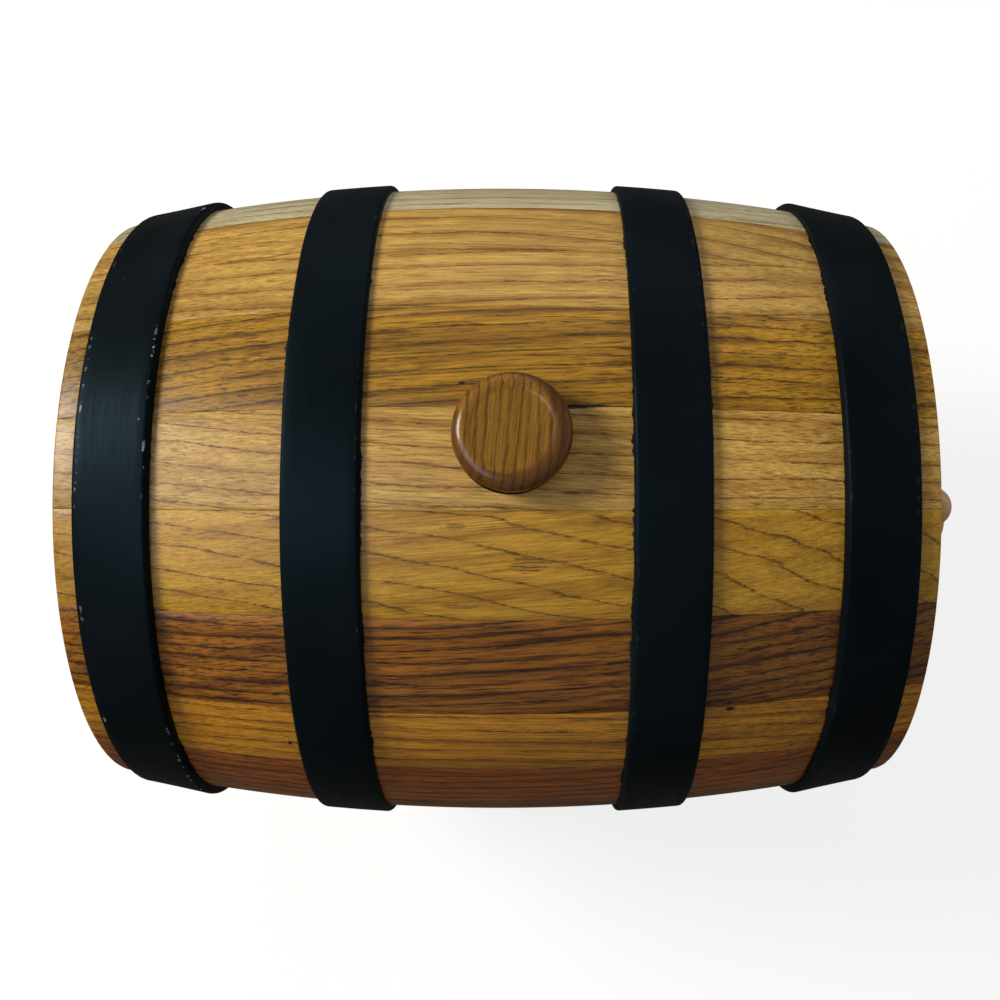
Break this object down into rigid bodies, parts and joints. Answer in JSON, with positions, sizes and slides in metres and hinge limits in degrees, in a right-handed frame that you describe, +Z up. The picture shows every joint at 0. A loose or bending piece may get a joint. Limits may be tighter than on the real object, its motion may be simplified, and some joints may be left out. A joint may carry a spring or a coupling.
{
  "type": "cask drink dispenser",
  "caption": "Small oak cask on a saddle stand, with riveted black steel hoops, a wooden bung on top and a wooden tap in one head.",
  "frame": {"origin": "on the surface the stand rests on, under the middle of the stand and of the cask", "axes": "+Z up; +X along the cask towards the head with the tap; +Y across it; the bung points along +Z"},
  "size_m": [0.314, 0.226, 0.275],
  "materials": {
    "oak_straw": "varnished",
    "oak_pale": "varnished",
    "oak_honey": "varnished",
    "oak_gold": "varnished",
    "oak_brown": "varnished",
    "oak_amber": "varnished",
    "head_oak": "varnished",
    "dowel_beech": "plain",
    "hoop_black": "satin black paint",
    "bung_oak": "varnished",
    "tap_beech": "varnished",
    "stand_oak": "varnished",
    "screw_brass": "plain"
  },
  "bodies": {
    "stand": {"front_saddle": "stand_oak", "back_saddle": "stand_oak", "left_rail": "stand_oak", "right_rail": "stand_oak", "stand_screws": "screw_brass"},
    "cask": {"stave_01": "oak_amber", "stave_02": "oak_brown", "stave_03": "oak_gold", "stave_04": "oak_pale", "stave_05": "oak_honey", "stave_06": "oak_straw", "stave_07": "oak_straw", "stave_08": "oak_pale", "stave_09": "oak_honey", "stave_10": "oak_gold", "stave_11": "oak_brown", "stave_12": "oak_pale", "stave_13": "oak_amber", "stave_14": "oak_straw", "stave_15": "oak_honey", "stave_16": "oak_gold", "stave_17": "oak_amber", "stave_18": "oak_pale", "stave_19": "oak_brown", "stave_20": "oak_honey", "stave_21": "oak_straw", "stave_22": "oak_gold", "stave_23": "oak_amber", "front_head_board_1": "head_oak", "front_head_board_2": "head_oak", "front_head_board_3": "head_oak", "front_head_board_4": "head_oak", "front_head_board_5": "head_oak", "back_head_board_1": "head_oak", "back_head_board_2": "head_oak", "back_head_board_3": "head_oak", "back_head_board_4": "head_oak", "back_head_board_5": "head_oak", "head_dowels": "dowel_beech", "front_head_hoop": "hoop_black", "front_bilge_hoop": "hoop_black", "back_bilge_hoop": "hoop_black", "back_head_hoop": "hoop_black", "hoop_rivets": "hoop_black", "tap_body": "tap_beech"},
    "bung": {"bung": "bung_oak"},
    "key": {"tap_key": "tap_beech", "tap_handle": "tap_beech"}
  },
  "joints": [
    {"name": "cask_lift", "type": "slide", "parent": "stand", "child": "cask", "axis": [0, 0, 1], "range_m": [0, 0.08]},
    {"name": "bung_pull", "type": "slide", "parent": "cask", "child": "bung", "axis": [0, 0, 1], "range_m": [0, 0.06]},
    {"name": "key_turn", "type": "hinge", "parent": "cask", "child": "key", "pos_m": [0.159, 0, 0.08698], "axis": [0, 0, 1], "continuous": true}
  ]
}
